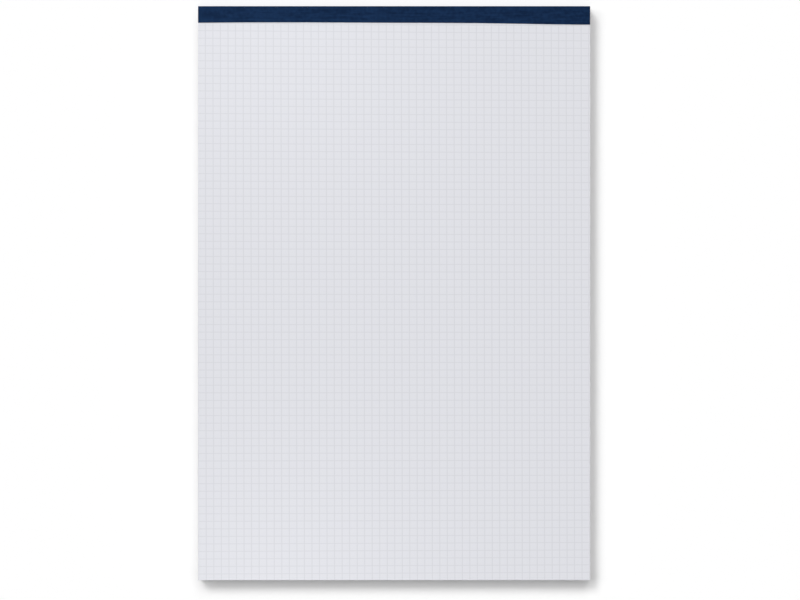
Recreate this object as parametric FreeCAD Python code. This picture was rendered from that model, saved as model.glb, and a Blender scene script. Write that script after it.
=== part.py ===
import FreeCAD, Part
import math
import os

from FreeCAD import Vector

# A head-bound A4 writing pad, lying face up: sheets on a backing board, held by two flat-wire
# staples through the head, with a strip of binding tape folded over the head to hide them.
# Millimetres. X runs across the pad, +Y points to the bound head and +Z up, out of the top sheet.
# The origin is under the middle of the pad, on the surface that it lies on.

# Sheets: an A4 leaf comes off below the tear line, and the stub above it stays bound
sheet_width = 210.0
leaf_length = 297.0
stub_length = 10.25
sheet_count = 100
sheet_thickness = 0.08

# Backing board, trimmed together with the sheets
board_thickness = 1.0

# Binding tape: the flaps are measured from the outside of the fold over the head. The front flap
# is shortest near its left end, and by flap_slant longer than front_flap at its right end
tape_thickness = 0.25
fold_radius = 0.4
front_flap = 8.9
flap_slant = 1.05
back_flap = 16.0

# The front flap's hand-fed cut edge: where across the pad, as a share of half its width,
# and how much of flap_slant is there
cut_edge_shares = (
    (-1.0, 0.0),
    (-0.38, -0.14),
    (0.14, 0.08),
    (0.43, 0.21),
    (0.71, 0.67),
    (1.0, 1.0),
)

# Staples of flat wire: the crown lies under the front flap, the legs are clinched on the board
wire_width = 0.7
wire_thickness = 0.5
crown_length = 12.0
clinch_gap = 4.0
wire_bend_radius = 0.3
staple_inset = 45.0
staple_setback = 4.5

# Places that follow from the sizes
half_width = sheet_width / 2
sheet_length = leaf_length + stub_length
pad_length = sheet_length + tape_thickness
tail_y = -pad_length / 2
spine_y = pad_length / 2
head_y = spine_y - tape_thickness
board_bottom = tape_thickness
board_top = board_bottom + board_thickness
sheets_top = board_top + sheet_count * sheet_thickness
pad_top = sheets_top + tape_thickness
staple_y = head_y - staple_setback
staple_places = {
    "left_staple": -half_width + staple_inset,
    "right_staple": half_width - staple_inset,
}

# The tape's inside fold is rounded no further than the board it folds round is thick
inner_fold = min(fold_radius, 0.9 * board_thickness)
outer_fold = inner_fold + tape_thickness


def rounded_outline(corners):
    """Closed wire through corners (point, radius), with a tangent arc where the radius isn't 0."""
    count = len(corners)
    starts = []
    ends = []
    arcs = []
    for index, (point, radius) in enumerate(corners):
        before = (corners[index - 1][0] - point).normalize()
        after = (corners[(index + 1) % count][0] - point).normalize()
        half_angle = before.getAngle(after) / 2
        setback = radius / math.tan(half_angle)
        starts.append(point + before * setback)
        ends.append(point + after * setback)
        inward = (before + after).normalize()
        arcs.append(point + inward * (radius / math.sin(half_angle) - radius))
    edges = []
    for index, (point, radius) in enumerate(corners):
        if radius > 0:
            edges.append(Part.Arc(starts[index], arcs[index], ends[index]).toShape())
        edges.append(Part.LineSegment(ends[index], starts[(index + 1) % count]).toShape())
    return Part.Wire(edges)


def across_the_pad(profile):
    """Solid of a profile in the YZ plane, given as (y, z, radius), over the sheets' width."""
    corners = [(Vector(-half_width, y, z), radius) for y, z, radius in profile]
    return Part.Face(rounded_outline(corners)).extrude(Vector(sheet_width, 0, 0))


def make_sheets():
    """The whole block of sheets, with its top head edge rounded by the tape."""
    return across_the_pad([
        (tail_y, board_top, 0),
        (head_y, board_top, 0),
        (head_y, sheets_top, inner_fold),
        (tail_y, sheets_top, 0),
    ])


def make_board():
    """The backing board, as large as the sheets, with its lower head edge rounded by the tape."""
    return across_the_pad([
        (tail_y, board_bottom, 0),
        (head_y, board_bottom, inner_fold),
        (head_y, board_top, 0),
        (tail_y, board_top, 0),
    ])


def make_front_flap(root_y):
    """The part of the tape on the top sheet, from its cut edge up to root_y."""
    cut_points = []
    for station, slanted in cut_edge_shares:
        cut_y = spine_y - front_flap - slanted * flap_slant
        cut_points.append(Vector(station * half_width, cut_y, sheets_top))
    cut = Part.BSplineCurve()
    cut.interpolate(cut_points)
    root_left = Vector(-half_width, root_y, sheets_top)
    root_right = Vector(half_width, root_y, sheets_top)
    outline = Part.Wire([
        cut.toShape(),
        Part.LineSegment(cut_points[-1], root_right).toShape(),
        Part.LineSegment(root_right, root_left).toShape(),
        Part.LineSegment(root_left, cut_points[0]).toShape(),
    ])
    return Part.Face(outline).extrude(Vector(0, 0, tape_thickness))


def make_tape():
    """One strip, folded over the head: front flap, spine and back flap."""
    root_y = spine_y - 2 * outer_fold
    back_y = spine_y - back_flap
    folded = across_the_pad([
        (root_y, pad_top, 0),
        (root_y, sheets_top, 0),
        (head_y, sheets_top, inner_fold),
        (head_y, board_bottom, inner_fold),
        (back_y, board_bottom, 0),
        (back_y, 0, 0),
        (spine_y, 0, outer_fold),
        (spine_y, pad_top, outer_fold),
    ])
    return folded.fuse(make_front_flap(root_y)).removeSplitter()


def staple_body(centre_x, outer_radius):
    """Flat wire bent into a crown, two legs and two clinched ends that point at each other."""
    outer = crown_length / 2
    inner = outer - wire_thickness
    tip = clinch_gap / 2
    low = board_bottom
    high = sheets_top
    profile = [
        (-tip, low, 0),
        (-outer, low, outer_radius),
        (-outer, high, outer_radius),
        (outer, high, outer_radius),
        (outer, low, outer_radius),
        (tip, low, 0),
        (tip, low + wire_thickness, 0),
        (inner, low + wire_thickness, wire_bend_radius),
        (inner, high - wire_thickness, wire_bend_radius),
        (-inner, high - wire_thickness, wire_bend_radius),
        (-inner, low + wire_thickness, wire_bend_radius),
        (-tip, low + wire_thickness, 0),
    ]
    near_y = staple_y - wire_width / 2
    corners = [(Vector(centre_x + x, near_y, z), radius) for x, z, radius in profile]
    return Part.Face(rounded_outline(corners)).extrude(Vector(0, wire_width, 0))


def make_staple(centre_x):
    """One staple, its crown flush with the sheets and its clinch flush with the board."""
    return staple_body(centre_x, wire_bend_radius + wire_thickness)


def pierce(shape):
    """The shape with each staple's track cut through it, open above and below the bends."""
    tracks = [staple_body(centre_x, 0) for centre_x in staple_places.values()]
    return shape.cut(tracks[0].fuse(tracks[1:]))


def single_solid(shape):
    """The one solid of a shape, checked before it is written."""
    solid = shape.Solids[0]
    if len(shape.Solids) != 1 or not solid.isValid():
        raise ValueError("a piece came out as more than one solid, or as a faulty one")
    return solid


def main():
    pieces = {
        "writing_sheets": pierce(make_sheets()),
        "backing_board": pierce(make_board()),
        "binding_tape": make_tape(),
    }
    for name, centre_x in staple_places.items():
        pieces[name] = make_staple(centre_x)
    os.makedirs("parts", exist_ok=True)
    for name, shape in pieces.items():
        solid = single_solid(shape)
        solid.exportStep(os.path.join("parts", name + ".step"))
        box = solid.BoundBox
        print(f"{name}: {box.XLength:.2f} x {box.YLength:.2f} x {box.ZLength:.2f} mm, "
              f"{solid.Volume:.1f} mm3, z {box.ZMin:.2f} to {box.ZMax:.2f}")


main()
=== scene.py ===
import math
import random

import bmesh
import bpy
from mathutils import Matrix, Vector, noise


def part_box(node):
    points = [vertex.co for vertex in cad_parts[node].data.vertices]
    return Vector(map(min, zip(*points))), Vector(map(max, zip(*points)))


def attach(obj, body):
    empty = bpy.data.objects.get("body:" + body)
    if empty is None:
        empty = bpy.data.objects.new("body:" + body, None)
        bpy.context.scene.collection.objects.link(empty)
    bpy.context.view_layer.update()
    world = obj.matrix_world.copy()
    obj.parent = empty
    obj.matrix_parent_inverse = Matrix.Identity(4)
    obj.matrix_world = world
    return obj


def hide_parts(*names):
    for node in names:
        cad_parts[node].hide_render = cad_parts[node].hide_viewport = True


# A writing pad bound at the head, seen from straight above. The sheets, the board and the tape
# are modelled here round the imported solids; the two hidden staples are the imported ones.
# Everything is in metres, and a name that ends in _MM is in millimetres.

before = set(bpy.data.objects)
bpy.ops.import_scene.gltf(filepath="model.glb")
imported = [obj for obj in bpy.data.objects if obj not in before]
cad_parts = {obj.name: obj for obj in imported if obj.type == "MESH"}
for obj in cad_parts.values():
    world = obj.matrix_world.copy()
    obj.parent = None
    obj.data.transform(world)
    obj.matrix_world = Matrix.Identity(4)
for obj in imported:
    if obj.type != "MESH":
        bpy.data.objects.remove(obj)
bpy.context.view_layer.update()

MM = 0.001

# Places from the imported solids
sheets_low, sheets_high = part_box("writing_sheets")
board_low, board_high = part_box("backing_board")
tape_low, tape_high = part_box("binding_tape")
HALF_WIDTH = sheets_high.x
TAIL_Y = sheets_low.y
HEAD_Y = sheets_high.y
SPINE_Y = tape_high.y
TAPE_THICKNESS = SPINE_Y - HEAD_Y

# The round of the sheets and the board inside the tape's fold
FOLD_RADIUS = 0.4 * MM

# The stack: each sheet and each bundle of them is trimmed a little differently, and the trim wanders
# along a sheet's edge. The outer EDGE_ROUND of a sheet's thickness slopes to the groove beside it
SHEET_THICKNESS = 0.08 * MM
SHEET_TRIM = 0.035 * MM
SHEET_GROOVE = 0.035 * MM
BUNDLE_TRIM = 0.03 * MM
TRIM_WANDER = 0.012 * MM
EDGE_ROUND = 0.22

# The top sheet, which lifts off the stack over its lower part: LIFT_FROM is the share of its length,
# from the head, that lies flat
TOP_SHEET_LIFT = 0.12 * MM
LIFT_FROM = 0.45

# The board: its cut side is modelled at these shares of its thickness. It is rough, and the cut has
# crushed it over the outer CRUSHED_SHARE of the thickness
BOARD_LEVELS = (0.0, 0.06, 0.15, 0.3, 0.5, 0.7, 0.88, 1.0)
BOARD_ROUGHNESS = 0.04 * MM
BOARD_CRUSH = 0.06 * MM
CRUSHED_SHARE = 0.12

# The tape's face: how deep it lies and how much it varies, as shares of the tape's thickness, how
# far the staples' crowns raise it and how far round them, and where it gets even towards the spine
FACE_DEPTH = 0.10
CROWN_RISE = 0.16
CROWN_REACH = 0.9 * MM
SPINE_CALM = 2 * MM
SPINE_UNEVENNESS = 0.25

# The printed squares. The columns lean a little and the rows fan out and drift, as they do on
# paper that is printed and cut at speed. COLUMN_SPREAD and ROW_FAN are per millimetre
COLUMN_PITCH_MM = 4.0251
COLUMN_START_MM = 0.108
COLUMN_LEAN = 0.00177
COLUMN_SPREAD = 3.37e-5
ROW_PITCH_MM = 4.0274
ROW_START_MM = 3.108
ROW_SLOPE = 0.00147
ROW_FAN = 4.0e-5
ROW_DRIFT_MM = 0.207
ROW_DRIFT_WAVE_MM = 240.0
ROW_DRIFT_PHASE = 1.078

# A printed line fades from LINE_CORE_MM to LINE_EDGE_MM off its middle, and on the cut edges of the
# stack it lies up to EDGE_SLIP_MM beside its place
LINE_CORE_MM = 0.06
LINE_EDGE_MM = 0.36
EDGE_SLIP_MM = 0.35

# The tear line: fine slits along the foot of the bound stub, each darkened with painted shade inside
# the slit
STUB_LENGTH_MM = 10.25
SLIT_PITCH_MM = 1.0
SLIT_CORE_MM = 0.05
SLIT_EDGE_MM = 0.12
SLIT_GAP_CORE_MM = 0.12
SLIT_GAP_EDGE_MM = 0.22
SLIT_SHADE_STRENGTH = 0.25

# Colours, linear
PAPER = (0.738, 0.744, 0.787, 1)
INK = (0.652, 0.658, 0.698, 1)
ROW_INK = 0.87
# Painted shade inside the tear line's slits
SLIT_SHADE = (0.42, 0.42, 0.44, 1)
PAPER_EDGE = (0.70, 0.70, 0.72, 1)
PAPER_EDGE_DARK = (0.50, 0.50, 0.52, 1)
PAPER_EDGE_TICK = (0.46, 0.47, 0.50, 1)
NAVY = (0.0016, 0.0115, 0.0400, 1)
NAVY_LIGHT = (0.0068, 0.0265, 0.0790, 1)
BOARD = (0.345, 0.322, 0.285, 1)
BOARD_DARK = (0.190, 0.172, 0.148, 1)
BOARD_LIGHT = (0.520, 0.495, 0.450, 1)
STEEL = (0.56, 0.57, 0.59, 1)
STEEL_DARK = (0.42, 0.43, 0.45, 1)
WHITE = (1, 1, 1, 1)
FLOOR_BOUNCE = (0.85, 0.85, 0.85, 1)

# The photograph's view: its scale at the top sheet, and where the pad's middle lies in it
PICTURE_WIDTH_PX = 800
PICTURE_MIDDLE_PX = (400.0, 300.0)
PAD_MIDDLE_PX = (394.11, 293.08)
PX_PER_METRE = 1867.0
LENS_MM = 100.0
SENSOR_MM = 36.0
CLIP_END = 20.0

# The light, as levels on a flat white sheet: a soft key from beyond the head's left corner, weaker
# ones from the left, from the head and from the right, an even fill, and a weak lamp low over each
# end of the pad
SUNS = {
    "corner_key": (Vector((-0.495, 0.739, 1.0)), 0.315, math.radians(22)),
    "left_key": (Vector((-0.698, 0.268, 1.0)), 0.191, math.radians(29)),
    "head_key": (Vector((0.139, 0.839, 1.0)), 0.160, math.radians(30)),
    "right_key": (Vector((0.564, 0.110, 1.0)), 0.109, math.radians(38)),
}
FILL_LEVEL = 0.187
FLOOR_GLOW = 0.038
FLOOR_REACH = 6.0
END_LAMPS = {
    "head_lamp": (Vector((-0.080, 0.170, 0.144)), 0.105),
    "tail_lamp": (Vector((-0.070, -0.180, 0.106)), 0.110),
}
END_LAMP_RADIUS = 0.03

# The bake maps. Places keep MAP_INSET off the borders. On a thin solid's map the side that shows
# goes up to SHOWN_SHARE, its rim from there to RIM_SHARE, and its back over the rest
MAP_NAME = "OFBake"
MAP_INSET = 0.002
SHOWN_SHARE = 0.94
RIM_SHARE = 0.955

random.seed(7)


def add(tree, kind, inputs=None, **settings):
    """A shader node with its settings, and each input set to a value or linked to a socket."""
    made = tree.nodes.new("ShaderNode" + kind)
    for name, value in settings.items():
        setattr(made, name, value)
    for key, value in (inputs or {}).items():
        if isinstance(value, bpy.types.NodeSocket):
            tree.links.new(value, made.inputs[key])
        else:
            made.inputs[key].default_value = value
    return made


def calc(tree, operation, *values):
    """The output of a Math node on sockets or numbers."""
    return add(tree, "Math", dict(enumerate(values)), operation=operation).outputs[0]


def weighted_sum(tree, start, *terms):
    """start, with each term's value times its weight added in turn."""
    total = start
    for value, weight in terms:
        total = calc(tree, "MULTIPLY_ADD", value, weight, total)
    return total


def blend_colours(tree, share, first, second):
    """The output of a colour mix: first where share is 0, second where it is 1."""
    return add(tree, "Mix", {0: share, 6: first, 7: second}, data_type="RGBA").outputs[2]


def remap(tree, value, low, high, to_low=0.0, to_high=1.0):
    """A value's smooth passage from low to high, turned into one from to_low to to_high."""
    inputs = {"Value": value, "From Min": low, "From Max": high, "To Min": to_low, "To Max": to_high}
    return add(tree, "MapRange", inputs, interpolation_type="SMOOTHSTEP").outputs[0]


def scale_vector(tree, vector, scale):
    """A vector or colour times a number."""
    return add(tree, "VectorMath", {0: vector, "Scale": scale}, operation="SCALE").outputs[0]


def new_material(name, specular):
    """A material with its tree, its main shader, and its place in millimetres."""
    material = bpy.data.materials.new(name)
    material.use_nodes = True
    tree = material.node_tree
    shader = tree.nodes["Principled BSDF"]
    shader.inputs["Specular IOR Level"].default_value = specular
    metres = add(tree, "TexCoord").outputs["Object"]
    return material, tree, shader, scale_vector(tree, metres, 1 / MM)


def grain(tree, place, scale, stretch=(1, 1, 1), detail=3.0, rough=0.5):
    """Noise of a number of features per millimetre, times stretch along each axis."""
    stretched = add(tree, "VectorMath", {0: place, 1: stretch}, operation="MULTIPLY").outputs[0]
    inputs = {"Vector": stretched, "Scale": scale, "Detail": detail, "Roughness": rough}
    return add(tree, "TexNoise", inputs).outputs[0]


def threads_along(tree, place, direction, scale, wobble, wobble_scale):
    """Wavy bands across a direction, as woven threads make them."""
    inputs = {"Vector": place, "Scale": scale, "Distortion": wobble, "Detail": 2.0,
              "Detail Scale": wobble_scale}
    return add(tree, "TexWave", inputs, bands_direction=direction).outputs["Fac"]


def bump(tree, shader, height, depth_mm, strength=1.0):
    """Sets the shader's normal from a height between 0 and 1 that stands for depth_mm."""
    inputs = {"Height": height, "Distance": depth_mm * MM, "Strength": strength}
    made = add(tree, "Bump", inputs)
    tree.links.new(made.outputs[0], shader.inputs["Normal"])


def spread(tree, value, to_low, to_high):
    """A noise's usual range, 0.3 to 0.7, turned into one from to_low to to_high."""
    return remap(tree, value, 0.3, 0.7, to_low, to_high)


def vary_roughness(tree, shader, value, low, high):
    """Takes the shader's roughness from low to high over a noise's usual range."""
    tree.links.new(spread(tree, value, low, high), shader.inputs["Roughness"])


def printed_lines(tree, value, start, pitch):
    """1 on the lines that repeat every pitch from start, falling to 0 beside them."""
    offset = calc(tree, "SUBTRACT", value, start)
    nearest = calc(tree, "ABSOLUTE", calc(tree, "WRAP", offset, pitch / 2, -pitch / 2))
    return remap(tree, nearest, LINE_CORE_MM, LINE_EDGE_MM, 1.0, 0.0)


def ruling(tree, x, y):
    """The columns and the rows of the printed squares, at a place in millimetres."""
    across = weighted_sum(tree, x, (y, COLUMN_LEAN), (calc(tree, "MULTIPLY", x, x), COLUMN_SPREAD))
    columns = printed_lines(tree, across, COLUMN_START_MM, COLUMN_PITCH_MM)
    slope = weighted_sum(tree, ROW_SLOPE, (y, ROW_FAN))
    turn = weighted_sum(tree, ROW_DRIFT_PHASE, (y, math.tau / ROW_DRIFT_WAVE_MM))
    along = weighted_sum(tree, y, (x, slope), (calc(tree, "SINE", turn), -ROW_DRIFT_MM))
    rows = printed_lines(tree, along, ROW_START_MM, ROW_PITCH_MM)
    return columns, rows


def tear_line(tree, x, y):
    """1 on the slits of the tear line, 0 off them."""
    from_line = calc(tree, "ABSOLUTE", calc(tree, "SUBTRACT", y, HEAD_Y / MM - STUB_LENGTH_MM))
    across = remap(tree, from_line, SLIT_CORE_MM, SLIT_EDGE_MM, 1.0, 0.0)
    from_gap = calc(tree, "PINGPONG", x, SLIT_PITCH_MM / 2)
    along = remap(tree, from_gap, SLIT_GAP_CORE_MM, SLIT_GAP_EDGE_MM)
    return calc(tree, "MULTIPLY", across, along)


def paper_material():
    """White writing paper with thin grey squares and a fine tear line below the stub, its slits
    darkened with painted shade.
    """
    material, tree, shader, place = new_material("squared_paper", specular=0.3)
    parts = add(tree, "SeparateXYZ", {0: place})
    x, y = parts.outputs[0], parts.outputs[1]
    columns, rows = ruling(tree, x, y)
    ink = calc(tree, "MAXIMUM", columns, calc(tree, "MULTIPLY", rows, ROW_INK))
    patchy = spread(tree, grain(tree, place, scale=1.3), 0.82, 1.0)
    base = blend_colours(tree, calc(tree, "MULTIPLY", ink, patchy), PAPER, INK)
    # The slits are darkened as painted shade inside them; their bump below is real
    slit = tear_line(tree, x, y)
    base = blend_colours(tree, calc(tree, "MULTIPLY", slit, SLIT_SHADE_STRENGTH), base, SLIT_SHADE)
    clouds = grain(tree, place, scale=0.12, detail=4.0)
    fibres = grain(tree, place, scale=3.0, stretch=(1, 0.35, 1))
    tone = weighted_sum(tree, 0.989, (clouds, 0.010), (fibres, 0.012))
    tree.links.new(scale_vector(tree, base, tone), shader.inputs["Base Color"])
    vary_roughness(tree, shader, fibres, 0.76, 0.88)
    bump(tree, shader, calc(tree, "SUBTRACT", fibres, slit), depth_mm=0.012)
    return material


def paper_edge_material():
    """The cut edges of the stack: fine layers, with the ruling's ends as faint darker ticks."""
    material, tree, shader, place = new_material("paper_edges", specular=0.2)
    layers = grain(tree, place, scale=1.0, stretch=(0.02, 0.02, 9.0), detail=5.0, rough=0.7)
    streaks = grain(tree, place, scale=1.0, stretch=(0.12, 0.12, 2.0))
    layered = weighted_sum(tree, 0.0, (streaks, 0.3), (layers, 0.7))
    shade = remap(tree, layered, 0.36, 0.62, 1.0, 0.0)
    base = blend_colours(tree, calc(tree, "MULTIPLY", shade, 0.45), PAPER_EDGE, PAPER_EDGE_DARK)
    parts = add(tree, "SeparateXYZ", {0: place})
    by_sheet = grain(tree, place, scale=1.0, stretch=(0, 0, 6.0))
    slip = weighted_sum(tree, -EDGE_SLIP_MM, (by_sheet, 2 * EDGE_SLIP_MM))
    x = calc(tree, "ADD", parts.outputs[0], slip)
    y = calc(tree, "ADD", parts.outputs[1], slip)
    columns, rows = ruling(tree, x, y)
    normal = add(tree, "SeparateXYZ", {0: add(tree, "NewGeometry").outputs["Normal"]})
    facing_side = calc(tree, "GREATER_THAN", calc(tree, "ABSOLUTE", normal.outputs[0]),
                       calc(tree, "ABSOLUTE", normal.outputs[1]))
    ticks = add(tree, "Mix", {0: facing_side, 2: columns, 3: rows}).outputs[0]
    base = blend_colours(tree, calc(tree, "MULTIPLY", ticks, 0.20), base, PAPER_EDGE_TICK)
    tree.links.new(base, shader.inputs["Base Color"])
    vary_roughness(tree, shader, layers, 0.84, 0.96)
    bump(tree, shader, layers, depth_mm=0.02, strength=0.6)
    return material


def tape_material():
    """Dull navy binding tape: a fine linen grain with slubs and streaks along the strip, mottled,
    and painted lighter towards its left end, as painted light from the left."""
    material, tree, shader, place = new_material("navy_tape", specular=0.05)
    warp = threads_along(tree, place, "X", scale=0.52, wobble=1.1, wobble_scale=1.6)
    weft = threads_along(tree, place, "DIAGONAL", scale=0.60, wobble=1.4, wobble_scale=1.2)
    threads = weighted_sum(tree, 0.0, (weft, 0.5), (warp, 0.5))
    slubs = grain(tree, place, scale=1.0, stretch=(0.25, 2.2, 2.2))
    streaks = grain(tree, place, scale=1.0, stretch=(0.10, 0.9, 0.9), detail=2.0)
    clouds = grain(tree, place, scale=0.09, detail=3.0)
    mottle = grain(tree, place, scale=0.55, detail=2.0)
    x = add(tree, "SeparateXYZ", {0: place}).outputs[0]
    # Painted light: the colour grows lighter towards the left end, standing in for the light from the
    # left
    painted_left_light = -0.07 / (HALF_WIDTH / MM)
    light = weighted_sum(tree, -0.95, (slubs, 0.40), (threads, 0.30), (streaks, 1.10), (clouds, 0.35),
                         (mottle, 0.95), (x, painted_left_light))
    base = blend_colours(tree, remap(tree, light, 0.1, 1.1), NAVY, NAVY_LIGHT)
    tree.links.new(base, shader.inputs["Base Color"])
    vary_roughness(tree, shader, threads, 0.70, 0.54)
    bump(tree, shader, weighted_sum(tree, threads, (slubs, 0.6)), depth_mm=0.03)
    return material


def board_material():
    """Grey chipboard of recycled fibre: dark and light flecks on a mottled ground."""
    material, tree, shader, place = new_material("chipboard", specular=0.2)
    mottle = grain(tree, place, scale=0.35, detail=5.0, rough=0.6)
    base = blend_colours(tree, spread(tree, mottle, 0.0, 0.35), BOARD, BOARD_LIGHT)
    dark_fibre = grain(tree, place, scale=1.5, stretch=(1, 0.4, 1), detail=4.0, rough=0.7)
    pale_fibre = grain(tree, place, scale=1.9, stretch=(0.4, 1, 1), detail=4.0, rough=0.7)
    dark = calc(tree, "MULTIPLY", remap(tree, dark_fibre, 0.57, 0.645), 0.75)
    pale = calc(tree, "MULTIPLY", remap(tree, pale_fibre, 0.575, 0.65), 0.7)
    base = blend_colours(tree, dark, base, BOARD_DARK)
    base = blend_colours(tree, pale, base, BOARD_LIGHT)
    tree.links.new(base, shader.inputs["Base Color"])
    vary_roughness(tree, shader, mottle, 0.86, 0.98)
    bump(tree, shader, grain(tree, place, scale=2.2, detail=5.0, rough=0.65), depth_mm=0.06)
    return material


def steel_material():
    """Galvanised flat wire, drawn lengthwise."""
    material, tree, shader, place = new_material("galvanised_wire", specular=0.5)
    shader.inputs["Metallic"].default_value = 1.0
    drawn = grain(tree, place, scale=2.0, stretch=(0.4, 12.0, 0.4), detail=4.0)
    base = blend_colours(tree, spread(tree, drawn, 0.0, 1.0), STEEL, STEEL_DARK)
    tree.links.new(base, shader.inputs["Base Color"])
    vary_roughness(tree, shader, drawn, 0.26, 0.40)
    bump(tree, shader, drawn, depth_mm=0.004)
    return material


def put_in_scene(name, data):
    """A new object with that data, in the scene."""
    made = bpy.data.objects.new(name, data)
    bpy.context.scene.collection.objects.link(made)
    return made


def new_build():
    """A mesh to build, with a layer for its bake map."""
    build = bmesh.new()
    build.loops.layers.uv.new(MAP_NAME)
    return build


def finish_build(build, name):
    """The built mesh, as an object in the scene."""
    mesh = bpy.data.meshes.new(name)
    build.to_mesh(mesh)
    build.free()
    return put_in_scene(name, mesh)


def on_map(across, up, low, high):
    """A place on the bake map: across and up, from 0 to 1, inside the band from low to high."""
    return (
        MAP_INSET + (1 - 2 * MAP_INSET) * across,
        low + MAP_INSET + (high - low - 2 * MAP_INSET) * up,
    )


def add_face(build, corners, places):
    """A face with its corners' places on the bake map."""
    layer = build.loops.layers.uv[MAP_NAME]
    for loop, place in zip(build.faces.new(corners).loops, places):
        loop[layer].uv = place


def smooth_noise(x, y, layer, per_metre):
    """Smooth noise between about -1 and 1, of a number of features per metre, in one layer."""
    return noise.noise((x * per_metre, y * per_metre, layer))


def outline_points(step):
    """Points round the sheets' rectangle, anticlockwise from the tail's left corner, each with its
    side's number and how far along that side it lies."""
    corners = [
        Vector((-HALF_WIDTH, TAIL_Y)),
        Vector((HALF_WIDTH, TAIL_Y)),
        Vector((HALF_WIDTH, HEAD_Y)),
        Vector((-HALF_WIDTH, HEAD_Y)),
    ]
    points = []
    for side, corner in enumerate(corners):
        after = corners[(side + 1) % 4]
        count = round((after - corner).length / step)
        points.extend((corner.lerp(after, i / count), side, i / count) for i in range(count))
    return points


def within(point, inset, head_inset):
    """A point of the outline, moved in by its inset, and at the head by at least head_inset."""
    x = max(-HALF_WIDTH + inset, min(HALF_WIDTH - inset, point.x))
    y = max(TAIL_Y + inset, min(HEAD_Y - max(inset, head_inset), point.y))
    return x, y


def fold_inset(height):
    """How far a round of the fold's radius stands in, that far from the face that it ends on."""
    if height >= FOLD_RADIUS:
        return 0.0
    return FOLD_RADIUS - math.sqrt(FOLD_RADIUS ** 2 - (FOLD_RADIUS - height) ** 2)


def add_wall(build, points, below, above, heights, side_share):
    """The faces between two rings. Each side of the outline has a quarter of side_share of the bake
    map, and heights are the rings' places in it."""
    low, high = heights
    for i, (_, side, start) in enumerate(points):
        after = (i + 1) % len(points)
        end = points[after][2] or 1.0
        band = (side_share * side / 4, side_share * (side + 1) / 4)
        places = [on_map(across, up, *band) for across, up in
                  ((start, low), (end, low), (end, high), (start, high))]
        add_face(build, (below[i], below[after], above[after], above[i]), places)


def add_cap(build, ring, low, high):
    """A flat face in a ring, in the bake map's band from low to high."""
    places = [on_map(corner.co.x / (2 * HALF_WIDTH) + 0.5,
                     (corner.co.y - TAIL_Y) / (HEAD_Y - TAIL_Y), low, high) for corner in ring]
    add_face(build, ring, places)


def trimmed_block(name, rings, step, side_share, under_share):
    """A closed block with upright sides, from rings (z, how the inset varies, inset at the head).
    side_share and under_share are how much of its bake map the sides and the underside take."""
    points = outline_points(step)
    build = new_build()
    levels = []
    for z, inset_at, head_inset in rings:
        places = [within(point, inset_at(point), head_inset) for point, _, _ in points]
        levels.append([build.verts.new((x, y, z)) for x, y in places])
    last = len(levels) - 1
    for level in range(last):
        heights = (level / last, (level + 1) / last)
        add_wall(build, points, levels[level], levels[level + 1], heights, side_share)
    add_cap(build, levels[0][::-1], side_share, side_share + under_share)
    add_cap(build, levels[-1], side_share + under_share, 1.0)
    return finish_build(build, name)


def sheet_edge(sheet):
    """How far in one sheet is trimmed, as a function of a point of the outline."""
    own = random.uniform(0.0, SHEET_TRIM)
    bundle = BUNDLE_TRIM * (noise.noise((0.0, 0.0, sheet * 0.21)) + 0.6)

    def inset_at(point):
        wander = smooth_noise(point.x, point.y, sheet * 0.9, per_metre=30) * TRIM_WANDER
        return max(0.0, own + bundle + wander)

    return inset_at


def groove_beside(edge_at):
    """How far in the groove beside a sheet's edge lies."""
    return lambda point: edge_at(point) + SHEET_GROOVE


def make_sheet_stack():
    """All the sheets under the top one, each with its own cut edge."""
    low = sheets_low.z
    high = sheets_high.z - SHEET_THICKNESS
    count = round((high - low) / SHEET_THICKNESS)
    thick = (high - low) / count
    rings = []
    for sheet in range(count):
        edge = sheet_edge(sheet)
        groove = groove_beside(edge)
        levels = [(0.0, groove), (EDGE_ROUND, edge), (1 - EDGE_ROUND, edge)]
        if sheet == count - 1:
            levels.append((1.0, groove))
        for share, inset_at in levels:
            z = low + sheet * thick + share * thick
            rings.append((z, inset_at, fold_inset(sheets_high.z - z)))
    return trimmed_block("sheet_stack", rings, step=6 * MM, side_share=0.90, under_share=0.05)


def board_side(share):
    """How far in the board's cut side lies, that share up its thickness, as a function of a point
    of the outline."""
    from_middle = abs(share - 0.5)
    crush = BOARD_CRUSH * max(0.0, from_middle - (0.5 - CRUSHED_SHARE)) / CRUSHED_SHARE

    def inset_at(point):
        rough = smooth_noise(point.x, point.y, share * 3, per_metre=90) + 0.5
        return crush + max(0.0, rough) * BOARD_ROUGHNESS

    return inset_at


def make_board():
    """The backing board, its cut sides a little rough."""
    thickness = board_high.z - board_low.z
    rings = []
    for share in BOARD_LEVELS:
        z = board_low.z + share * thickness
        rings.append((z, board_side(share), fold_inset(z - board_low.z)))
    return trimmed_block("chipboard_back", rings, step=3 * MM, side_share=0.16, under_share=0.78)


def sheet_lift(x, y):
    """How far the top sheet stands off the stack: nothing at the head, a breath at the tail."""
    down = max(0.0, (HEAD_Y - y) / (HEAD_Y - TAIL_Y) - LIFT_FROM) / (1 - LIFT_FROM)
    wave = 0.5 + 0.5 * smooth_noise(x, y, 3.0, per_metre=9)
    corner = 0.4 + 0.6 * (x / HALF_WIDTH) ** 2
    return TOP_SHEET_LIFT * down * down * wave * corner


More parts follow.
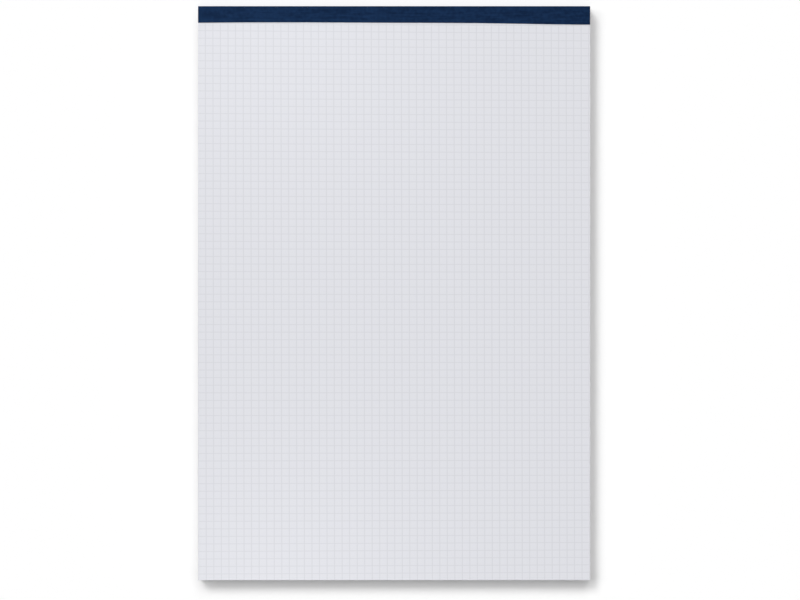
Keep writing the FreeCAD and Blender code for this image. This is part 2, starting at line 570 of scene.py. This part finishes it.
def grid_solid(name, top, bottom, place_at):
    """A closed thin solid between two grids of points with the same rows and columns. The top grid
    is the side that shows, and place_at gives a point's place on its part of the bake map."""
    rows, columns = len(top), len(top[0])
    build = new_build()
    uppers = [[build.verts.new(place) for place in row] for row in top]
    lowers = [[build.verts.new(place) for place in row] for row in bottom]
    for r in range(rows - 1):
        for c in range(columns - 1):
            ring = ((r, c), (r, c + 1), (r + 1, c + 1), (r + 1, c))
            places = [on_map(*place_at(i, j), 0.0, SHOWN_SHARE) for i, j in ring]
            add_face(build, [uppers[i][j] for i, j in ring], places)
            places = [on_map(*place_at(i, j), RIM_SHARE, 1.0) for i, j in ring[::-1]]
            add_face(build, [lowers[i][j] for i, j in ring[::-1]], places)
    rim = [(0, c) for c in range(columns - 1)]
    rim += [(r, columns - 1) for r in range(rows - 1)]
    rim += [(rows - 1, c) for c in range(columns - 1, 0, -1)]
    rim += [(r, 0) for r in range(rows - 1, 0, -1)]
    for k, (r, c) in enumerate(rim):
        r2, c2 = rim[(k + 1) % len(rim)]
        corners = [uppers[r2][c2], uppers[r][c], lowers[r][c], lowers[r2][c2]]
        start, end = k / len(rim), (k + 1) / len(rim)
        places = [on_map(across, up, SHOWN_SHARE, RIM_SHARE) for across, up in
                  ((end, 1), (start, 1), (start, 0), (end, 0))]
        add_face(build, corners, places)
    return finish_build(build, name)


def make_top_sheet():
    """The sheet that shows, a leaf of its own on the stack."""
    rows, columns = 63, 43
    head = HEAD_Y - FOLD_RADIUS
    top, bottom = [], []
    for r in range(rows):
        y = TAIL_Y + (head - TAIL_Y) * r / (rows - 1)
        upper, lower = [], []
        for c in range(columns):
            x = -HALF_WIDTH + 2 * HALF_WIDTH * c / (columns - 1)
            lift = sheet_lift(x, y)
            upper.append((x, y, sheets_high.z + lift))
            lower.append((x, y, sheets_high.z - SHEET_THICKNESS + lift))
        top.append(upper)
        bottom.append(lower)
    return grid_solid("top_sheet", top, bottom, lambda r, c: (c / (columns - 1), r / (rows - 1)))


def cut_edge():
    """The tape's cut edge on the top sheet, as points (x, y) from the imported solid."""
    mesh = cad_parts["binding_tape"].data
    fold_y = SPINE_Y - 4 * (FOLD_RADIUS + TAPE_THICKNESS)
    found = {}
    for vertex in mesh.vertices:
        place = vertex.co
        if place.z > tape_high.z - 0.1 * TAPE_THICKNESS and place.y < fold_y:
            found[round(place.x, 6)] = place.y
    return sorted(found.items())


def height_of(line, x):
    """The y of a line of points at x, straight between the points."""
    for (x1, y1), (x2, y2) in zip(line, line[1:]):
        if x <= x2:
            return y1 + (y2 - y1) * (x - x1) / (x2 - x1)
    return line[-1][1]


def arc(centre_y, centre_z, radius, start, end, steps):
    """Points (y, z) on an arc, without its first one."""
    angles = [math.radians(start + (end - start) * i / steps) for i in range(1, steps + 1)]
    return [(centre_y + radius * math.cos(a), centre_z + radius * math.sin(a)) for a in angles]


def tape_section(cut_y, offset):
    """The tape's outside from its front cut edge to its back one, moved in by offset."""
    spine = SPINE_Y - offset
    top = tape_high.z - offset
    bottom = tape_low.z + offset
    radius = FOLD_RADIUS + TAPE_THICKNESS - offset
    turn = spine - radius
    steps_front, steps_fold, steps_spine, steps_back = 12, 7, 8, 16
    points = [(cut_y + (turn - cut_y) * i / steps_front, top) for i in range(steps_front + 1)]
    points += arc(turn, top - radius, radius, 90, 0, steps_fold)
    drop = top - bottom - 2 * radius
    points += [(spine, top - radius - drop * i / steps_spine) for i in range(1, steps_spine + 1)]
    points += arc(turn, bottom + radius, radius, 0, -90, steps_fold)
    length = turn - tape_low.y
    points += [(turn - length * i / steps_back, bottom) for i in range(1, steps_back + 1)]
    return points


def shares_along(points):
    """How far along a line of points each of them lies, from 0 to 1."""
    lengths = [0.0]
    for before, after in zip(points, points[1:]):
        lengths.append(lengths[-1] + math.dist(before, after))
    return [length / lengths[-1] for length in lengths]


def face_depth(x, y, z, staples):
    """How deep the tape's face lies, as a share of its thickness: uneven, less over the staples'
    crowns and more even at the spine."""
    per_metre = 160
    depth = FACE_DEPTH * (1 + smooth_noise(x, y, z * per_metre, per_metre))
    if z > tape_high.z - 0.1 * MM:
        for low, high in staples:
            away = math.hypot(max(0.0, low.x - x, x - high.x), y - (low.y + high.y) / 2)
            depth -= CROWN_RISE * math.exp(-(away / CROWN_REACH) ** 2)
    from_spine = min(1.0, (SPINE_Y - y) / SPINE_CALM)
    return max(0.0, depth) * (SPINE_UNEVENNESS + (1 - SPINE_UNEVENNESS) * from_spine)


def make_tape():
    """The folded strip, with a slightly uneven face and the staples' crowns faintly raised."""
    columns = 211
    line = cut_edge()
    staples = [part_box("left_staple"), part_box("right_staple")]
    outer, inner = [], []
    for c in range(columns):
        x = -HALF_WIDTH + 2 * HALF_WIDTH * c / (columns - 1)
        cut_y = height_of(line, x)
        inside = tape_section(cut_y, TAPE_THICKNESS)
        face = []
        for (y, z), (y_in, z_in) in zip(tape_section(cut_y, 0.0), inside):
            depth = face_depth(x, y, z, staples)
            face.append((x, y + (y_in - y) * depth, z + (z_in - z) * depth))
        outer.append(face)
        inner.append([(x, y, z) for y, z in inside])
    down = shares_along(tape_section(height_of(line, 0.0), 0.0))
    faces_out = list(zip(*outer))
    faces_in = list(zip(*inner))
    return grid_solid("cloth_tape", faces_out, faces_in, lambda r, c: (c / (columns - 1), down[r]))


def finish_piece(piece, material, node):
    """Gives a new piece its material and its body, and hides the imported node that it stands for."""
    piece.data.materials.append(material)
    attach(piece, "root")
    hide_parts(node)


def seen_directly(tree):
    """1 for what the camera sees, also in a gloss or through glass, and 0 for what lights things."""
    path = add(tree, "LightPath")
    gloss = calc(tree, "MAXIMUM", path.outputs["Is Glossy Ray"], path.outputs["Is Transmission Ray"])
    return calc(tree, "MAXIMUM", path.outputs["Is Camera Ray"], gloss)


def make_floor():
    """A white table top that goes on past the view and keeps the pad's shadow."""
    mesh = bpy.data.meshes.new("floor")
    corners = [(x * FLOOR_REACH, y * FLOOR_REACH, 0) for x, y in ((-1, -1), (1, -1), (1, 1), (-1, 1))]
    mesh.from_pydata(corners, [], [(0, 1, 2, 3)])
    floor = put_in_scene("floor", mesh)
    material = bpy.data.materials.new("floor")
    material.use_nodes = True
    tree = material.node_tree
    shader = tree.nodes["Principled BSDF"]
    shader.inputs["Roughness"].default_value = 1.0
    shader.inputs["Specular IOR Level"].default_value = 0.0
    seen = seen_directly(tree)
    base = blend_colours(tree, seen, FLOOR_BOUNCE, WHITE)
    tree.links.new(base, shader.inputs["Base Color"])
    shader.inputs["Emission Color"].default_value = WHITE
    tree.links.new(calc(tree, "MULTIPLY", seen, FLOOR_GLOW), shader.inputs["Emission Strength"])
    mesh.materials.append(material)


def make_world():
    """An even fill from all round, white where it is seen."""
    world = bpy.data.worlds.new("studio")
    bpy.context.scene.world = world
    world.use_nodes = True
    tree = world.node_tree
    background = tree.nodes["Background"]
    background.inputs["Color"].default_value = WHITE
    strength = weighted_sum(tree, FILL_LEVEL, (seen_directly(tree), 1.0 - FILL_LEVEL))
    tree.links.new(strength, background.inputs["Strength"])


def make_suns():
    """The suns, each strong enough to light a flat white sheet to its level."""
    for name, (towards, level, angle) in SUNS.items():
        light = bpy.data.lights.new(name, "SUN")
        light.angle = angle
        light.energy = level * math.pi / towards.normalized().z
        sun = put_in_scene(name, light)
        sun.rotation_mode = "QUATERNION"
        sun.rotation_quaternion = (-towards).to_track_quat("-Z", "Y")


def make_end_lamps(pieces):
    """The weak lamps over the pad's ends, which light the pad and not the floor. Each gives a flat
    white sheet straight below it its level."""
    lit = bpy.data.collections.new("lit_by_end_lamps")
    for piece in pieces:
        lit.objects.link(piece)
    for name, (place, level) in END_LAMPS.items():
        light = bpy.data.lights.new(name, "POINT")
        light.shadow_soft_size = END_LAMP_RADIUS
        light.energy = 4 * math.pi ** 2 * level * place.z ** 2
        lamp = put_in_scene(name, light)
        lamp.location = place + Vector((0, 0, sheets_high.z))
        lamp.visible_camera = False
        lamp.visible_glossy = False
        lamp.light_linking.receiver_collection = lit


def make_camera():
    """Straight above the pad, as far off as the photograph's scale needs with this lens."""
    data = bpy.data.cameras.new("camera")
    data.lens = LENS_MM
    data.sensor_width = SENSOR_MM
    data.clip_end = CLIP_END
    focal_px = LENS_MM / SENSOR_MM * PICTURE_WIDTH_PX
    right = (PICTURE_MIDDLE_PX[0] - PAD_MIDDLE_PX[0]) / PX_PER_METRE
    down = (PICTURE_MIDDLE_PX[1] - PAD_MIDDLE_PX[1]) / PX_PER_METRE
    camera = put_in_scene("camera", data)
    camera.location = (right, -down, sheets_high.z + focal_px / PX_PER_METRE)
    bpy.context.scene.camera = camera


make_world()
make_floor()
make_suns()
make_camera()

stack = make_sheet_stack()
top_sheet = make_top_sheet()
board = make_board()
tape = make_tape()
finish_piece(stack, paper_edge_material(), "writing_sheets")
finish_piece(top_sheet, paper_material(), "writing_sheets")
finish_piece(board, board_material(), "backing_board")
finish_piece(tape, tape_material(), "binding_tape")
make_end_lamps((stack, top_sheet, board, tape))

steel = steel_material()
for staple in ("left_staple", "right_staple"):
    for material_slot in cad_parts[staple].material_slots:
        material_slot.material = steel

bpy.context.scene.view_settings.view_transform = "Standard"
